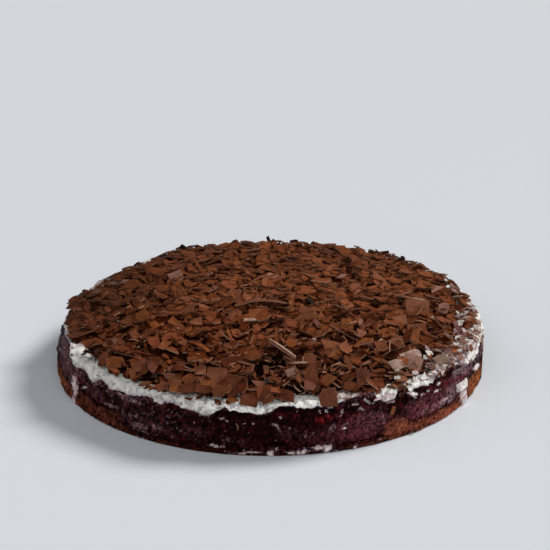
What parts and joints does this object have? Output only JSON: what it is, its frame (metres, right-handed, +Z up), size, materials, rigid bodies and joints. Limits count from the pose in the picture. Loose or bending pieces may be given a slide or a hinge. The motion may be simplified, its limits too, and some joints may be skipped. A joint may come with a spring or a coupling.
{
  "type": "poppy seed cake",
  "caption": "Low round layer cake: sponge base, dark berry filling that has run down its side, whipped cream and a thick bed of chocolate flakes.",
  "frame": {"origin": "centre of the underside, where the cake meets the surface it rests on", "axes": "+Z up through the layers, the cake's front faces -Y, +X to the right seen from the front"},
  "size_m": [0.2611, 0.2601, 0.0392],
  "materials": {
    "sponge": "baked sponge, rough and crumbly",
    "filling": "set berry filling, moist and dark",
    "cream": "whipped cream, lumpy and soft",
    "chocolate": "milk chocolate flakes, satin faces and sharp broken edges"
  },
  "bodies": {
    "root": {"sponge_base": "sponge", "berry_filling": "filling", "cream_layer": "cream", "chocolate_flakes": "chocolate"}
  },
  "joints": []
}
